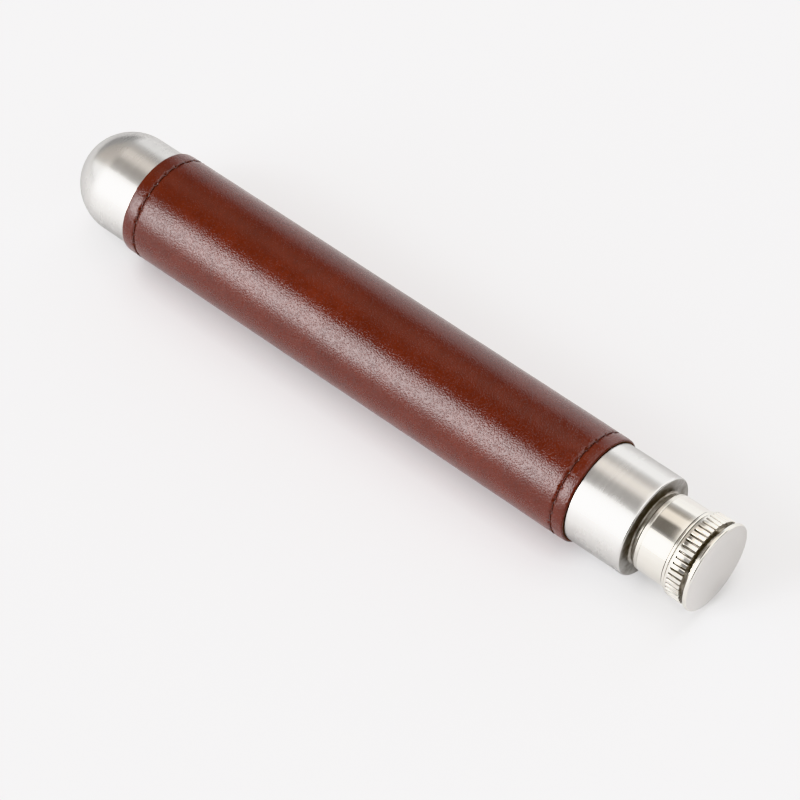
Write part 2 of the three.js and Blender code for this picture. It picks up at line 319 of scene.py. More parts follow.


# Grime and painted shade on metal, darkening its recesses: its colour, how much rougher it is,
# and how much of it there is from place to place, as patches this many to the metre.
GRIME_AND_SHADE_COLOUR = (0.115, 0.092, 0.062, 1)
GRIME_AND_SHADE_ROUGHNESS = 0.15
GRIME_AND_SHADE_PATCHES = 480.0
GRIME_AND_SHADE_LEAST, GRIME_AND_SHADE_MOST = 0.55, 1.25
# The lathe's lines: how much darker the deep ones are, as painted shade, how many wide ones
# there are to a fine one, the fine ones' share of the whole, and how often a line changes on
# its way round, in changes to the metre.
LINE_DARK = 0.95
WIDE_LINES = 0.13
FINE_SHARE = 0.6
ROUND_CHANGES = 40
# Smudges on metal, this many to the metre.
SMUDGES = 90.0


def turned_metal(name, tint, rough, line_mm, line_depth_mm, anisotropy=0.4, smudge=0.05,
                 spread=0.12, edge=1.0):
    """Metal finished on a lathe: fine lines run round the axis, on walls and end faces alike.
    It reflects less at its outline where edge is below 1."""
    n = new_material(name)
    x, out, y = n.turned_place()
    fine = 1 / (line_mm * MM)
    wide = fine * WIDE_LINES
    lines = n.noise(n.vector(n.math("MULTIPLY", x, fine), n.math("MULTIPLY", out, fine),
                             n.math("MULTIPLY", y, ROUND_CHANGES)), 1.0, 3.0, 0.65)
    bands = n.noise(n.vector(n.math("MULTIPLY", x, wide), n.math("MULTIPLY", out, wide), 0.0),
                    1.0, 2.0)
    mixed = n.math("ADD", n.math("MULTIPLY", lines, FINE_SHARE),
                   n.math("MULTIPLY", bands, 1 - FINE_SHARE))
    blotch = n.noise(n.here(), SMUDGES, 3.0, 0.6)
    roughness = n.math("ADD", n.spread(mixed, rough * (1 - spread), rough * (1 + spread)),
                       n.map(blotch, 0.4, 0.7, 0.0, smudge))
    # The colour follows the lines' height, so the deep lines are a little darker: painted shade.
    dark = [c * LINE_DARK for c in tint] + [1]
    metal = n.mix(n.spread(mixed, 0.0, 1.0), dark, list(tint) + [1])
    # Where the vertices are marked, the metal is darkened: painted shade in its recesses, with some
    # grime, in random patches.
    patchy = n.map(n.noise(n.here(), GRIME_AND_SHADE_PATCHES, 3.0, 0.6), 0.38, 0.62,
                   GRIME_AND_SHADE_LEAST, GRIME_AND_SHADE_MOST)
    grime_and_shade = n.math("MULTIPLY", patchy, n.attribute("grime_and_shade"))
    n.set(Base_Color=n.mix(grime_and_shade, metal, GRIME_AND_SHADE_COLOUR), Metallic=1.0,
          Roughness=n.math("ADD", roughness, n.math("MULTIPLY", grime_and_shade, GRIME_AND_SHADE_ROUGHNESS)),
          Anisotropic=anisotropy, Specular_Tint=(edge, edge, edge, 1),
          Normal=n.bump(mixed, line_depth_mm * MM))
    tangent = n.node("ShaderNodeTangent", direction_type="RADIAL", axis="X")
    n.link(tangent.outputs[0], n.shader.inputs["Tangent"])
    return n.owner


# ---------------------------------------------------------------- materials

satin_steel = turned_metal("satin_steel", (0.615, 0.603, 0.585), rough=0.26, line_mm=0.16,
                           line_depth_mm=0.00015, anisotropy=0.3, smudge=0.03, spread=0.03,
                           edge=0.68)
neck_metal = turned_metal("neck_metal", (0.56, 0.535, 0.49), rough=0.24, line_mm=0.3,
                          line_depth_mm=0.0010, smudge=0.02)
cap_nickel = turned_metal("cap_nickel", (0.70, 0.675, 0.625), rough=0.10, line_mm=0.4,
                          line_depth_mm=0.0030, smudge=0.03)
face_nickel = turned_metal("face_nickel", (0.64, 0.62, 0.60), rough=0.36, line_mm=0.3,
                           line_depth_mm=0.0006, anisotropy=0.3)

# Leather's colours where it's deep, bright, creased and shaded.
LEATHER_DEEP = (0.083, 0.0120, 0.0050, 1)
LEATHER_BRIGHT = (0.110, 0.0170, 0.0074, 1)
LEATHER_CREASE = (0.069, 0.0092, 0.0038, 1)
LEATHER_SHADE = (0.030, 0.0075, 0.0045, 1)
# Leather's details, each as how many there are to the metre, then the pores' share of the grain,
# and how deep grain and creases are.
PORES = 2700.0
FINE_GRAIN = 2800.0
CREASES = 420.0
TONES = 55.0
PORE_SHARE = 0.4
GRAIN_DEPTH = 0.060 * MM
CREASE_DEPTH, CREASE_STRENGTH = 0.03 * MM, 0.6


def leather_material():
    n = new_material("brown_leather")
    here = n.here()
    pores = n.map(n.cells(here, PORES), 0.15, 0.62, 1.0, 0.0)
    fine = n.noise(here, FINE_GRAIN, 1.0, 0.5)
    height = n.math("ADD", n.math("MULTIPLY", pores, PORE_SHARE),
                    n.math("MULTIPLY", fine, 1 - PORE_SHARE))
    creases = n.noise(here, CREASES, 3.0, 0.55)
    tone = n.noise(here, TONES, 4.0, 0.6)
    skin = n.mix(n.map(tone, 0.35, 0.68, 0.0, 1.0), LEATHER_DEEP, LEATHER_BRIGHT)
    skin = n.mix(n.map(creases, 0.45, 0.7, 0.0, 0.5), skin, LEATHER_CREASE)
    skin = n.mix(n.attribute("shade"), skin, LEATHER_SHADE)
    n.set(Base_Color=skin, Roughness=n.map(height, 0.2, 0.9, 0.18, 0.33), IOR=1.49,
          Normal=n.bump(creases, CREASE_DEPTH, CREASE_STRENGTH,
                        n.bump(height, GRAIN_DEPTH)))
    return n.owner


def edge_material():
    n = new_material("leather_cut_edge")
    fibres = n.noise(n.here(), 2600.0, 4.0, 0.7)
    dark, pale = (0.105, 0.034, 0.020, 1), (0.21, 0.10, 0.065, 1)
    n.set(Base_Color=n.mix(n.spread(fibres, 0.0, 1.0), dark, pale),
          Roughness=n.spread(fibres, 0.6, 0.85), Normal=n.bump(fibres, 0.05 * MM))
    return n.owner


def thread_material():
    n = new_material("dark_thread")
    uv = n.node("ShaderNodeUVMap", uv_map="twist").outputs[0]
    along, around, _ = n.parts(uv)
    ply = n.math("SINE", n.math("MULTIPLY", n.math("ADD", along, around), TAU))
    fuzz = n.noise(n.here(), 5000.0, 3.0, 0.6)
    height = n.math("ADD", n.math("MULTIPLY", ply, 0.35), n.math("MULTIPLY", fuzz, 0.5))
    dark, pale = (0.022, 0.007, 0.005, 1), (0.090, 0.024, 0.016, 1)
    # Pale on the twist's raised plies and dark between them: painted shade in the twist, with
    # random fuzz.
    n.set(Base_Color=n.mix(n.map(height, -0.1, 0.6, 0.0, 1.0), dark, pale),
          Roughness=n.spread(fuzz, 0.5, 0.75), Normal=n.bump(height, 0.08 * MM))
    return n.owner


def silicone_material():
    n = new_material("seal_silicone")
    cloud = n.noise(n.here(), 700.0, 3.0, 0.5)
    dark, pale = (0.74, 0.73, 0.69, 1), (0.82, 0.81, 0.78, 1)
    n.set(Base_Color=n.mix(cloud, dark, pale), Roughness=n.spread(cloud, 0.42, 0.55),
          Normal=n.bump(cloud, 0.01 * MM))
    return n.owner


def suede_material():
    n = new_material("split_leather")
    nap = n.noise(n.here(), 3000.0, 4.0, 0.7)
    dark, pale = (0.11, 0.060, 0.038, 1), (0.20, 0.125, 0.085, 1)
    n.set(Base_Color=n.mix(nap, dark, pale), Roughness=n.spread(nap, 0.8, 0.95),
          Normal=n.bump(nap, 0.06 * MM))
    return n.owner


leather = leather_material()
cut_edge = edge_material()
thread = thread_material()
silicone = silicone_material()
suede = suede_material()

# ---------------------------------------------------------------- steel body


def ellipse_arc(start_x, depth, radius, steps):
    """From the rim at start_x to the tip, falling along -X."""
    return [
        (start_x - depth * math.sin(a), radius * math.cos(a))
        for a in (math.pi / 2 * k / steps for k in range(steps + 1))
    ]


tube_outline = fillet([
    (TUBE_END, TUBE_INNER_R, 0),
    (TUBE_END, TUBE_R, 0),
    (TUBE_START, TUBE_R, 0),
    (TUBE_START, TUBE_INNER_R, 0),
])
place(turned("tube", tube_outline, satin_steel), "flask", "satin_steel", "body_tube")

lap_outer_r = TUBE_INNER_R - FIT
lap_inner_r = TUBE_INNER_R - WALL
dome_depth = TUBE_START - DOME_TIP
dome_outline = ellipse_arc(TUBE_START, dome_depth, TUBE_R, 40)
dome_outline += ellipse_arc(TUBE_START, dome_depth - DOME_TIP_WALL, lap_inner_r, 24)[::-1]
dome_outline += [(TUBE_START + LAP, lap_inner_r), (TUBE_START + LAP, lap_outer_r),
                 (TUBE_START, lap_outer_r)]
place(turned("dome", dome_outline, satin_steel), "flask", "satin_steel", "dome_end")

RIM_ROUND = 0.45 * MM
shoulder_outline = fillet([
    (TUBE_END - LAP, lap_outer_r, 0),
    (TUBE_END - LAP, lap_inner_r, 0.1 * MM),
    (SHOULDER - PLATE_THICK, lap_inner_r, 0.6 * MM),
    (SHOULDER - PLATE_THICK, SPIGOT_R, 0),
    (SHOULDER, SPIGOT_R, 0.05 * MM),
    (SHOULDER, TUBE_R, RIM_ROUND),
    (TUBE_END, TUBE_R, 0),
    (TUBE_END, lap_outer_r, 0),
], steps=6)


# Grime and painted shade on the shoulder's face at its rim, and how much more there is by the neck.
RIM_GRIME_AND_SHADE = 0.4
RIM_TO_NECK_GRIME_AND_SHADE = 0.25
NECK_GRIME_AND_SHADE = 0.55


def shoulder_grime_and_shade(x, r):
    on_face = x > SHOULDER - 2 * SLACK
    inwards = (TUBE_R - r) / (TUBE_R - STEM_R)
    return RIM_GRIME_AND_SHADE + RIM_TO_NECK_GRIME_AND_SHADE * inwards if on_face else 0.0


# The shoulder's face is darkened, more towards the neck: painted shade, with some grime.
shoulder = mark_grime_and_shade(turned("shoulder", shoulder_outline, satin_steel), shoulder_grime_and_shade)
place(shoulder, "flask", "satin_steel", "shoulder_plate")

fillet_outline = [
    (SHOULDER, STEM_R),
    (FILLET_TOP, STEM_R),
    (SHOULDER + 0.22 * MM, STEM_R + 0.10 * MM),
    (SHOULDER + 0.10 * MM, STEM_R + 0.22 * MM),
    (SHOULDER + 0.03 * MM, FILLET_R),
    (SHOULDER, FILLET_R),
]
solder_fillet = turned("solder_fillet", fillet_outline, neck_metal)
# The solder fillet is darkened all over: painted shade at the neck's foot, with some grime.
mark_grime_and_shade(solder_fillet, lambda x, r: NECK_GRIME_AND_SHADE)
place(solder_fillet, "flask", "satin_steel", "neck_solder_ring")

# ---------------------------------------------------------------- screw threads


# How far apart the rows of a threaded wall are, how much wider the ridge is than a half circle,
# and how fast it rises at its ends: it's whole after one part in this many of a turn.
ROW_STEP = 0.14 * MM
RIDGE_WIDER = 1.05
RIDGE_FADE = 8


def screw_rows(core_r, crest, x_low, x_high, ridge_from, turns, segments, inward=False):
    """Rows of a threaded wall: a rounded ridge climbs SCREW_PITCH a turn and fades at its ends."""
    rows = []
    count = int((x_high - x_low) / ROW_STEP)
    for i in range(count + 1):
        x = x_low + (x_high - x_low) * i / count
        row = []
        for j in range(segments):
            turn = j / segments
            best = 0.0
            for whole in range(-1, int(turns) + 2):
                t = turn + whole
                if not 0 <= t <= turns:
                    continue
                off = (x - (ridge_from + t * SCREW_PITCH)) / (crest * RIDGE_WIDER)
                fade = min(1.0, max(0.0, t * RIDGE_FADE), max(0.0, (turns - t) * RIDGE_FADE))
                best = max(best, math.sqrt(max(0.0, 1 - off * off)) * fade)
            r = core_r + (-1 if inward else 1) * crest * best
            angle = TAU * turn
            row.append((x, r * math.cos(angle), AXIS_Z + r * math.sin(angle)))
        rows.append(row)
    return rows


NECK_SEGMENTS = 144
FLANGE_ROUND = 0.65 * MM
flange_round = [
    (STEM_TOP + FLANGE_ROUND * (1 - math.cos(a)), STEM_R + (FLANGE_R - STEM_R) * math.sin(a), 0)
    for a in (math.pi / 2 * k / 8 for k in range(9))
]
NECK_FOOT = SHOULDER + 0.02 * MM
neck_outer = fillet([
    (NECK_BOTTOM, MOUTH_R, 0),
    (NECK_BOTTOM, SPIGOT_R, 0.1 * MM),
    (NECK_FOOT, SPIGOT_R, 0),
    (NECK_FOOT, STEM_R, 0),
    *flange_round,
    (FLANGE_TOP, FLANGE_R, 0.06 * MM),
    (FLANGE_TOP, THREAD_CORE_R, 0),
], steps=4)
neck_lip = fillet([
    (LIP - 1.2 * MM, THREAD_CORE_R, 0),
    (LIP, THREAD_CORE_R, 0.6 * MM),
    (LIP, MOUTH_R, 0.4 * MM),
    (LIP - 1.0 * MM, MOUTH_R, 0),
    (NECK_BOTTOM, MOUTH_R, 0),
], steps=5)
# The screw's first row takes the place of the outline's last point.
neck_rows = [ring_points(x, r, NECK_SEGMENTS) for x, r in neck_outer[:-1]]
neck_rows += screw_rows(THREAD_CORE_R, THREAD_CREST, FLANGE_TOP, LIP - 1.25 * MM, RIDGE_FROM,
                        NECK_TURNS, NECK_SEGMENTS)
neck_rows += [ring_points(x, r, NECK_SEGMENTS) for x, r in neck_lip]
# Past the stem's top, the grime and painted shade thin out to nothing over this distance.
GRIME_AND_SHADE_THINS = 0.5 * MM


def neck_grime_and_shade(x, r):
    """Painted shade and grime: most at the foot of the neck, less on the flange, none on the screw.
    """
    if not SHOULDER <= x <= FLANGE_TOP or r < STEM_R - SLACK:
        return 0.0
    return NECK_GRIME_AND_SHADE * max(0.0, 1 - max(0.0, x - STEM_TOP) / GRIME_AND_SHADE_THINS)


neck_spout = from_rows("neck_spout", neck_rows[::-1], neck_metal)
place(mark_grime_and_shade(neck_spout, neck_grime_and_shade), "flask", "satin_steel", "neck")

# ---------------------------------------------------------------- leather wrap

HEM_EDGE = 0.32 * MM
FLOOR_GAP = 0.03 * MM
GRID_AROUND = 480
# The rows of hem stitches start and end this far round from straight down.
HEM_ROW_START = math.radians(20)
HEM_ROW_END = math.radians(360 - 26)
# The lap's step is on the -Y side: it runs out over this distance past the seam's flat.
LAP_RUN_OUT = 1.6 * MM
UNDERSIDE = math.radians(60)


def wrap_stitch_angles():
    """Angles of the stitch holes, measured from straight down, clear of the seam underneath."""
    arc = HEM_ROW_END - HEM_ROW_START
    count = round(arc * WRAP_R / HEM_STITCH)
    return [HEM_ROW_START + arc * k / count for k in range(count + 1)]


HOLES = wrap_stitch_angles()


def seam_radius(angle):
    """Outer radius of the skin at an angle from straight down (positive towards +Y)."""
    side = angle if angle < math.pi else angle - TAU
    if abs(side) > UNDERSIDE:
        return WRAP_R
    flat = (WRAP_R - FLOOR_GAP) / math.cos(side)
    y = flat * math.sin(side)
    if side >= 0:
        return flat if y <= SEAM_HALF_WIDTH else WRAP_R
    if -y <= SEAM_HALF_WIDTH:
        return flat
    blend = (-y - SEAM_HALF_WIDTH) / LAP_RUN_OUT
    if blend >= 1:
        return WRAP_R
    corner = math.hypot(WRAP_R, SEAM_HALF_WIDTH)
    return corner + (WRAP_R - corner) * (1 - (1 - blend) ** 2)


# The leather thins towards its edges, is shaded there, and waves a little along its length.
EDGE_THIN, EDGE_THIN_REACH = 0.10 * MM, 1.6 * MM
EDGE_SHADE, EDGE_SHADE_REACH = 0.15, 0.5 * MM
WAVE, WAVES_ALONG, WAVES_ROUND = 0.035 * MM, 130, 1.5
# Underneath, this far either way from straight down, there are the seam's stitches and no hem's.
SEAM_ZONE = math.radians(22)
SEAM_END_ROOM = 0.5 * MM
SEAM_DEPTH, SEAM_WIDTH, SEAM_SHADE = 0.28 * MM, 0.45 * MM, 0.5
# A groove runs along each row of hem stitches, with a hole at each end of a stitch and a hollow
# where the thread pulls the leather down.
HEM_REACH = 2.2 * MM
HEM_DEPTH, HEM_WIDTH, HEM_SHADE = 0.13 * MM, 0.42 * MM, 0.25
HOLE_DEPTH, HOLE_WIDTH = 0.26 * MM, 0.38 * MM
HOLE_SHADE, HOLE_SHADE_WIDTH = 0.75, 0.45 * MM
PULL_DEPTH, PULL_LONG, PULL_WIDE = 0.05 * MM, 0.7 * MM, 1.3 * MM


def bell(distance, width):
    return math.exp(-((distance / width) ** 2))


def skin_point(x, angle):
    """Outer radius and dark shade of the leather at a place on it."""
    r = seam_radius(angle)
    under = min(angle, TAU - angle) < SEAM_ZONE
    edge = min(x - WRAP_START, WRAP_END - x)
    if edge < HEM_EDGE:
        drop = 1 - math.sqrt(max(0.0, 1 - (1 - edge / HEM_EDGE) ** 2))
        r -= drop * HEM_EDGE
    r -= EDGE_THIN * max(0.0, 1 - edge / EDGE_THIN_REACH) ** 1.5
    shade = EDGE_SHADE * max(0.0, 1 - edge / EDGE_SHADE_REACH)
    wave = noise.noise(Vector((x * WAVES_ALONG, math.cos(angle) * WAVES_ROUND,
                               math.sin(angle) * WAVES_ROUND)))
    if not under:
        r += wave * WAVE
    elif SEAM_START - SEAM_END_ROOM < x < SEAM_END + SEAM_END_ROOM:
        groove = bell(r * math.sin(angle) - SEAM_Y, SEAM_WIDTH)
        r -= SEAM_DEPTH * groove
        shade = max(shade, SEAM_SHADE * groove)
    for hem_x in HEM_XS.values():
        away = abs(x - hem_x)
        if away > HEM_REACH or under:
            continue
        groove = bell(away, HEM_WIDTH)
        nearest = min(HOLES, key=lambda hole: abs(hole - angle))
        around = abs(nearest - angle) * WRAP_R
        far = math.hypot(around, away)
        r -= HEM_DEPTH * groove
        r -= HOLE_DEPTH * bell(far, HOLE_WIDTH)
        r -= PULL_DEPTH * bell(around, PULL_LONG) * bell(away, PULL_WIDE)
        shade = max(shade, HOLE_SHADE * bell(far, HOLE_SHADE_WIDTH), HEM_SHADE * groove)
    return r, shade


def wrap_xs():
    """Where the rows of the wrap's grid are: close together near its edges, wide in between."""
    hem_zone = 6.0 * MM
    hem_steps = int(hem_zone / (0.16 * MM))
    middle_steps = 70
    edge = [HEM_EDGE * (1 - math.cos(math.pi / 2 * k / 5)) for k in range(5)]
    near = edge + [HEM_EDGE + (hem_zone - HEM_EDGE) * k / hem_steps for k in range(hem_steps + 1)]
    xs = [WRAP_START + d for d in near]
    inner = WRAP_END - WRAP_START - 2 * hem_zone
    xs += [WRAP_START + hem_zone + inner * k / middle_steps for k in range(1, middle_steps)]
    xs += [WRAP_END - d for d in reversed(near)]
    return xs


def wrap_place(x, r, angle):
    return x, r * math.sin(angle), AXIS_Z - r * math.cos(angle)


# The leather's inner face is out of sight and dark.
INNER_SHADE = 0.8


def make_wrap():
    verts, faces, shades = [], [], []
    xs = wrap_xs()
    angles = [TAU * j / GRID_AROUND for j in reversed(range(GRID_AROUND))]
    outer_rows = []
    for x in reversed(xs):
        points = [(angle, *skin_point(x, angle)) for angle in angles]
        outer_rows.append([wrap_place(x, r, angle) for angle, r, _ in points])
        shades += [shade for _, _, shade in points]
    add_grid(verts, faces, outer_rows)
    first_inner = len(verts)
    inner_rows = [[wrap_place(x, LEATHER_INNER_R, angle) for angle in angles]
                  for x in (xs[0], xs[-1])]
    shades += [INNER_SHADE] * (2 * GRID_AROUND)
    add_grid(verts, faces, inner_rows)
    skin_faces = len(faces)
    last_outer = first_inner - GRID_AROUND
    other_inner = first_inner + GRID_AROUND
    for j in range(GRID_AROUND):
        k = (j + 1) % GRID_AROUND
        faces.append((last_outer + j, last_outer + k, first_inner + k, first_inner + j))
        faces.append((other_inner + j, other_inner + k, k, j))
    wrap = make_object("leather_skin", verts, faces, [leather, cut_edge], sharp_deg=50)
    for i, polygon in enumerate(wrap.data.polygons):
        polygon.material_index = 1 if i >= skin_faces else 0
    mark(wrap, "shade", shades)
    return wrap


wrap = place(make_wrap(), "flask", "brown_leather", "leather_wrap")

lining_inner_r = TUBE_R + SLACK
lining_outer_r = LEATHER_INNER_R - SLACK
lining_outline = [
    (LINING_START, lining_inner_r), (LINING_END, lining_inner_r),
    (LINING_END, lining_outer_r), (LINING_START, lining_outer_r),
]
lining = place(turned("lining", lining_outline, suede), "flask", "split_leather", "wrap_lining")

# ---------------------------------------------------------------- stitching

THREAD_R = 0.14 * MM
# One turn of the thread's twist, and how far its ends dive into their holes.
THREAD_TWIST = 0.75 * MM
THREAD_DIVE = 0.34 * MM


def add_stitch(verts, faces, twists, start, end, up_start, up_end, lift):
    """A stitch from hole to hole: a twisted thread that rises from one and dives into the other."""
    steps, sides = 12, 10
    chord = end - start
    base = len(verts)
    for i in range(steps + 1):
        t = i / steps
        off_middle = abs(2 * t - 1)
        up = (up_start.lerp(up_end, t)).normalized()
        rise = lift * (1 - off_middle ** 3.2) - THREAD_DIVE * off_middle ** 5
        centre = start + chord * t + up * rise
        side = chord.cross(up).normalized()
        for k in range(sides):
            angle = TAU * k / sides
            across = side * (THREAD_R * math.cos(angle))
            verts.append(centre + across + up * (THREAD_R * math.sin(angle)))
            twists.append((t * chord.length / THREAD_TWIST, k / sides))
    for i in range(steps):
        for k in range(sides):
            a = base + i * sides
            b = a + sides
            n = (k + 1) % sides
            faces.append((a + k, b + k, b + n, a + n))


def stitch_row(name, stitches, lift, nodes):
    verts, faces, twists = [], [], []
    for start, end, up_start, up_end in stitches:
        add_stitch(verts, faces, twists, start, end, up_start, up_end, lift)
    row = make_object(name, verts, faces, thread, sharp_deg=80)
    uv = row.data.uv_layers.new(name="twist")
    for loop in row.data.loops:
        uv.data[loop.index].uv = twists[loop.vertex_index]
    return place(row, "flask", "dark_thread", *nodes)


def on_skin(x, angle, depth):
    out = Vector((0, math.sin(angle), -math.cos(angle)))
    return Vector((x, 0, AXIS_Z)) + out * (WRAP_R - depth), out


# Stitches leave a gap at each hole, as a share of their pitch. A hem stitch slants a little and
# starts this far below the skin; a seam stitch starts at this height over the floor. In between,
# each rises by its lift.
STITCH_SLANT = 0.08 * MM
HEM_GAP = 0.10
HEM_STITCH_DEPTH, HEM_STITCH_LIFT = 0.04 * MM, 0.03 * MM
SEAM_GAP = 0.08
SEAM_STITCH_Z, SEAM_STITCH_LIFT = 0.30 * MM, 0.05 * MM

for end_name, hem_x in HEM_XS.items():
    stitches = []
    for a, b in zip(HOLES, HOLES[1:]):
        gap = HEM_GAP * (b - a)
        start, up_start = on_skin(hem_x - STITCH_SLANT, a + gap, HEM_STITCH_DEPTH)
        finish, up_end = on_skin(hem_x + STITCH_SLANT, b - gap, HEM_STITCH_DEPTH)
        stitches.append((start, finish, up_start, up_end))
    stitch_row(f"hem_stitches_{end_name}", stitches, HEM_STITCH_LIFT,
               [f"hem_stitching_{end_name}"])

seam_length = SEAM_END - SEAM_START
seam_count = round(seam_length / HEM_STITCH)
down = Vector((0, 0, -1))
seam_stitches = []
for k in range(seam_count):
    start, finish = (
        Vector((SEAM_START + seam_length * (k + share) / seam_count, SEAM_Y, SEAM_STITCH_Z))
        for share in (SEAM_GAP, 1 - SEAM_GAP)
    )
    seam_stitches.append((start, finish, down, down))
stitch_row("seam_stitches", seam_stitches, SEAM_STITCH_LIFT, ["seam_stitching"])

# ---------------------------------------------------------------- cap

SHELL_SEGMENTS = 192
AXIS_HOLE_R = 0.01 * MM
SKIRT_TOP = BEAD_START - 0.06 * MM
BEAD_FOOT = BEAD_START + 0.12 * MM
BEAD_TOP = KNURL_START - 0.22 * MM
cap_outer = fillet([
    (SHELL_TOP, AXIS_HOLE_R, 0),
    (SHELL_TOP, GROOVE_R, 0.08 * MM),
    (KNURL_END, GROOVE_R, 0),
    (KNURL_END, CORE_R, 0.05 * MM),
    (KNURL_START, CORE_R, 0),
    (BEAD_TOP, CORE_R, 0),
    (BEAD_TOP, BEAD_R, 0.3 * MM),
    (BEAD_FOOT, BEAD_R, 0.3 * MM),
    (BEAD_FOOT, CORE_R, 0),
    (SKIRT_TOP, CORE_R, 0),
    (SKIRT_TOP, CAP_R, 0.06 * MM),
    (CAP_START, CAP_R, 0.06 * MM),
    (CAP_START, CAP_BORE_R, 0.3 * MM),
    (CAP_START + 0.6 * MM, CAP_BORE_R, 0),
], steps=5)
cap_rows = [ring_points(x, r, SHELL_SEGMENTS) for x, r in cap_outer]
cap_rows += screw_rows(CAP_BORE_R, CAP_CREST, CAP_START + 0.65 * MM, CAP_CEILING - 0.3 * MM,
                       RIDGE_FROM + SCREW_PITCH / 2, CAP_TURNS, SHELL_SEGMENTS, inward=True)
cap_rows += [ring_points(CAP_CEILING, CAP_BORE_R, SHELL_SEGMENTS),
             ring_points(CAP_CEILING, AXIS_HOLE_R / 10, SHELL_SEGMENTS)]
# Grime and painted shade on the cap, darkening its recesses: behind the disc, beside the bead,
# in the knurling and under the disc.
SEAT_GRIME_AND_SHADE, SEAT_GRIME_AND_SHADE_R = 0.5, GROOVE_R * 0.9
BEAD_GRIME_AND_SHADE, BEAD_GRIME_AND_SHADE_START = 0.7, BEAD_START - 0.1 * MM
KNURL_GRIME_AND_SHADE = 0.9
DISC_GRIME_AND_SHADE = 0.4


def cap_grime_and_shade(x, r):
    """Grime and painted shade sit in the grooves beside the bead and behind the disc."""
    if x > KNURL_END - SLACK and r > SEAT_GRIME_AND_SHADE_R:
        return SEAT_GRIME_AND_SHADE
    if BEAD_GRIME_AND_SHADE_START < x < KNURL_START and CAP_BORE_R < r < CORE_R + 2 * SLACK:
        return BEAD_GRIME_AND_SHADE
    return 0.0


cap_skirt = from_rows("cap_skirt", cap_rows, cap_nickel)
place(mark_grime_and_shade(cap_skirt, cap_grime_and_shade), "cap", "cap_nickel", "cap_shell")

# Each groove's flat floor and sloping side, as shares of the way from one rib to the next.
GROOVE_FLOOR = 0.05
GROOVE_SIDE = 0.17
GROOVE_DEPTH = 0.5 * MM
STEPS_PER_RIB = 20
KNURL_LAND = 0.62 * MM


def knurl_groove(turn):
    """How deep the groove is at a place round the ring, 1 at its floor and 0 on a rib's crest."""
    away = abs((turn * RIBS) % 1.0 - 0.5)
    return 1 - min(1.0, max(0.0, (away - GROOVE_FLOOR) / GROOVE_SIDE))


def make_knurl():
    """The grip ring: its outline turned in small steps, with a groove cut between ribs."""
    segments = RIBS * STEPS_PER_RIB
    length = KNURL_END - KNURL_START
    bore = CORE_R + 2 * SLACK
    # x from the ring's start, radius, and share of the groove's depth.
    plan = [
        (0.0, bore, 0.0),
        (0.0, KNURL_R - 0.22 * MM, 0.0),
        (0.10 * MM, KNURL_R - 0.10 * MM, 0.0),
        (0.2 * MM, KNURL_R - 0.06 * MM, 0.0),
        (KNURL_LAND, KNURL_R - 0.03 * MM, 0.0),
        (KNURL_LAND + 0.12 * MM, KNURL_R, 0.6),
        (KNURL_LAND + 0.3 * MM, KNURL_R, 1.0),
        (length - 0.25 * MM, KNURL_R, 1.0),
        (length - 0.1 * MM, KNURL_R - 0.05 * MM, 1.0),
        (length, KNURL_R - 0.2 * MM, 0.9),
        (length, bore, 0.0),
    ]
    rows, grime_and_shade = [], []
    for dx, r, share in reversed(plan):
        end_grime_and_shade = SEAT_GRIME_AND_SHADE if dx == length else 0.0
        row = []
        for j in range(segments):
            turn = j / segments
            groove = knurl_groove(turn) * share
            cut = r - groove * GROOVE_DEPTH
            row.append((KNURL_START + dx, cut * math.cos(TAU * turn),
                        AXIS_Z + cut * math.sin(TAU * turn)))
            # Each groove is darkened towards its floor, as is the end face behind the disc: painted
            # shade, with some grime.
            grime_and_shade.append(max(KNURL_GRIME_AND_SHADE * groove, end_grime_and_shade))
        rows.append(row)
    grip = from_rows("knurled_grip", rows, cap_nickel, closed=True, sharp_deg=25)
    mark(grip, "grime_and_shade", grime_and_shade)
    return grip


place(make_knurl(), "cap", "cap_nickel", "cap_knurled_ring")

disc_foot_r = GROOVE_R * 0.55
disc_outline = fillet([
    (CAP_END, 0.0, 0),
    (CAP_END, DISC_R, 0.38 * MM),
    (DISC_START, DISC_R, 0.15 * MM),
    (DISC_START, disc_foot_r, 0),
    (DISC_ROOT, disc_foot_r, 0.1 * MM),
    (DISC_ROOT, 0.0, 0),
], steps=6)
disc = turned("top_disc", disc_outline, [cap_nickel, face_nickel], closed=False)
for polygon in disc.data.polygons:
    if polygon.center.x > CAP_END - SLACK:
        polygon.material_index = 1
# The disc's underside is darkened: painted shade under the disc, with some grime.
mark_grime_and_shade(disc, lambda x, r: DISC_GRIME_AND_SHADE if x < DISC_START + SLACK else 0.0)
place(disc, "cap", "cap_nickel", "cap_top_disc")

liner_face = LINER_START + 0.12 * MM
liner_outline = fillet([
    (LINER_END, 0.0, 0),
    (LINER_END, LINER_R, 0.15 * MM),
    (LINER_START, LINER_R, 0.25 * MM),
    (LINER_START, LINER_R - 1.0 * MM, 0.1 * MM),
    (liner_face, LINER_R - 1.3 * MM, 0.1 * MM),
    (liner_face, 0.0, 0),
], steps=4)
place(turned("seal_disc", liner_outline, silicone, segments=96, closed=False), "liner",
      "seal_silicone", "cap_liner")

# ---------------------------------------------------------------- studio

FLOOR_HALF = 4.0
FLOOR_DARK = (0.885, 0.884, 0.896, 1)
FLOOR_PALE = (0.905, 0.904, 0.916, 1)


def floor_material():
    n = new_material("studio_floor")
    paper = n.noise(n.here(), 30.0, 2.0)
    n.set(Base_Color=n.mix(paper, FLOOR_DARK, FLOOR_PALE),
          Roughness=n.spread(paper, 0.55, 0.62))
    return n.owner


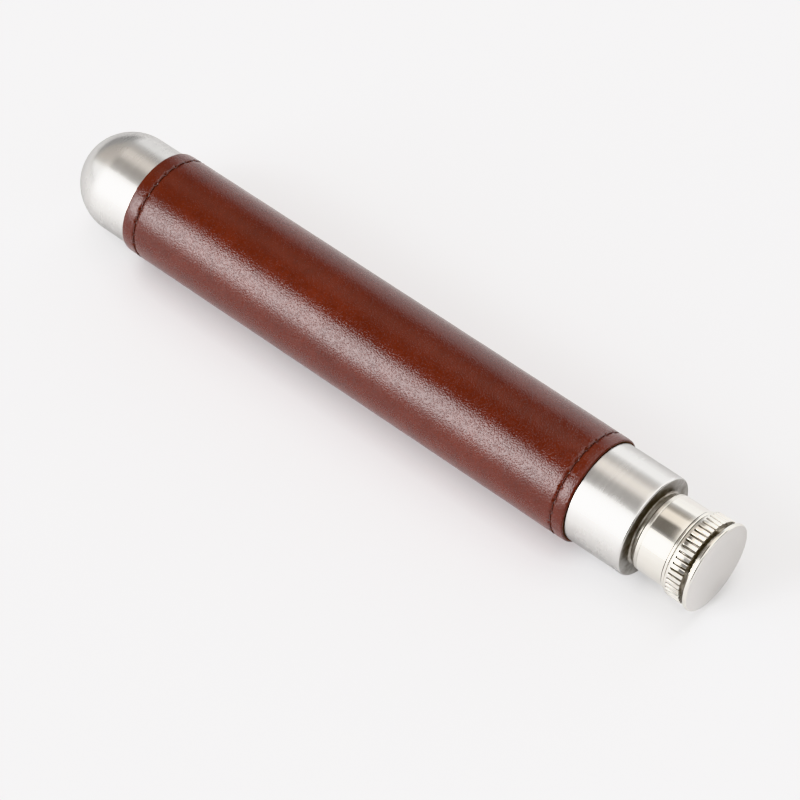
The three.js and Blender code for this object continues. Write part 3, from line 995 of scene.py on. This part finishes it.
floor = make_object(
    "studio_floor_sheet",
    [(-FLOOR_HALF, -FLOOR_HALF, 0), (FLOOR_HALF, -FLOOR_HALF, 0),
     (FLOOR_HALF, FLOOR_HALF, 0), (-FLOOR_HALF, FLOOR_HALF, 0)],
    [(0, 1, 2, 3)], floor_material())

# Brightness of the room, in degrees from the level behind the flask, over the top, to the
# level in front of it: far past the dome end, past the dome end, over the middle, past the cap.
FAR_LEFT_WALL = [(0, 0.4), (30, 0.5), (60, 0.7), (118, 0.8), (132, 1.8), (155, 1.6), (180, 0.8)]
LEFT_WALL = [(0, 1.55), (16, 1.6), (27, 1.95), (36, 0.78), (50, 0.5), (55, 0.6), (64, 1.3),
             (82, 1.2), (90, 0.26), (120, 0.26), (131, 0.7), (145, 1.6), (180, 1.5)]
MIDDLE_WALL = [(0, 2.2), (50, 2.8), (70, 3.3), (100, 3.1), (118, 2.2), (145, 0.4), (180, 0.2)]
RIGHT_WALL = [(0, 0.3), (45, 1.2), (75, 1.7), (105, 1.7), (130, 1.1), (160, 0.5), (180, 0.2)]
ROOM_PEAK = 4.0
# Where one part of the room passes into the next, as the share of a direction that's along X.
FAR_TO_LEFT = (-0.66, -0.42)
LEFT_TO_MIDDLE = (-0.28, -0.14)
MIDDLE_TO_RIGHT = (0.5, 0.62)
# The wall past the cap fades in above the floor, as the share of a direction that's upwards.
RIGHT_HEIGHT = (0.0, 0.45)
# The dark place round the camera and the window, along X and in degrees round it, with the
# softness of their edges.
CAMERA_ALONG = (0.16, 0.56, 0.05)
CAMERA_ROUND = (22, 168, 8)
CAMERA_LEVEL = 0.10
WINDOW_ALONG = (-0.62, -0.22, 0.07)
WINDOW_ROUND = (134.5, 177, 8)
WINDOW_LEVEL = 11.0
ROOM_TINT = (0.99, 0.995, 1.005, 1)
CAMERA_TINT = (1.0, 0.86, 0.62, 1)
# The wall past the dome end is a little warm overhead, in degrees.
WARM_ROUND = (44, 122, 10)
WARM_TINT = (1.03, 0.965, 0.90, 1)


def light_the_room(world):
    """A white studio room as a glow from every side: walls, an overhead sheet, a window low on
    the left, and a dark place where the camera and its stand are."""
    n = Nodes(world, "Background")

    def step(value, start, end):
        """0 before start, 1 past end, smooth between."""
        made = n.node("ShaderNodeMapRange", interpolation_type="SMOOTHSTEP")
        n.fill(made, {"Value": value, "From Min": start, "From Max": end})
        return made.outputs[0]

    def between(value, low, high, soft):
        """1 from low to high and 0 elsewhere, with soft edges."""
        rising = step(value, low - soft, low + soft)
        falling = step(value, high - soft, high + soft)
        return n.math("SUBTRACT", rising, falling)

    def wall(share, stops):
        ramp = n.node("ShaderNodeValToRGB")
        n.link(share, ramp.inputs[0])
        elements = ramp.color_ramp.elements
        while len(elements) > 1:
            elements.remove(elements[-1])
        for i, (degrees, level) in enumerate(stops):
            element = elements[0] if i == 0 else elements.new(degrees / 180)
            element.position = degrees / 180
            element.color = [level / ROOM_PEAK] * 3 + [1]
        return n.math("MULTIPLY", ramp.outputs[0], ROOM_PEAK)

    along, across, up = n.parts(n.node("ShaderNodeTexCoord").outputs["Generated"])
    share = n.math("DIVIDE", n.math("ARCTAN2", up, across), math.pi)
    degrees = n.math("MULTIPLY", share, 180.0)
    past_middle = step(along, *LEFT_TO_MIDDLE)
    raised = n.math("MULTIPLY", wall(share, RIGHT_WALL), step(up, *RIGHT_HEIGHT))
    level = n.fade(step(along, *FAR_TO_LEFT), wall(share, FAR_LEFT_WALL), wall(share, LEFT_WALL))
    level = n.fade(past_middle, level, wall(share, MIDDLE_WALL))
    level = n.fade(step(along, *MIDDLE_TO_RIGHT), level, raised)
    shadow = n.math("MULTIPLY", between(along, *CAMERA_ALONG), between(degrees, *CAMERA_ROUND))
    window = n.math("MULTIPLY", between(along, *WINDOW_ALONG), between(degrees, *WINDOW_ROUND))
    level = n.fade(window, n.fade(shadow, level, CAMERA_LEVEL), WINDOW_LEVEL)
    warm = n.math("MULTIPLY", between(degrees, *WARM_ROUND), n.math("SUBTRACT", 1.0, past_middle))
    tint = n.mix(shadow, n.mix(warm, ROOM_TINT, WARM_TINT), CAMERA_TINT)
    n.set(Color=tint, Strength=level)


scene = bpy.context.scene
scene.world = bpy.data.worlds.new("studio")
light_the_room(scene.world)

# ---------------------------------------------------------------- camera

CAMERA_AT = Vector((0.32395, -0.37399, 0.60250))
CAMERA_HEADING = math.radians(130.640)
CAMERA_DOWN = math.radians(50.765)
FOCAL_LENGTH = 153.07
SENSOR_WIDTH = 36
CLIP_START, CLIP_END = 0.01, 30
camera_data = bpy.data.cameras.new("camera")
camera_data.lens = FOCAL_LENGTH
camera_data.sensor_width = SENSOR_WIDTH
camera_data.clip_start = CLIP_START
camera_data.clip_end = CLIP_END
camera = bpy.data.objects.new("camera", camera_data)
look = Vector((math.cos(CAMERA_HEADING) * math.cos(CAMERA_DOWN),
               math.sin(CAMERA_HEADING) * math.cos(CAMERA_DOWN),
               -math.sin(CAMERA_DOWN)))
camera.location = CAMERA_AT
camera.rotation_euler = look.to_track_quat("-Z", "Y").to_euler()
scene.collection.objects.link(camera)
scene.camera = camera
scene.view_settings.view_transform = "Khronos PBR Neutral"
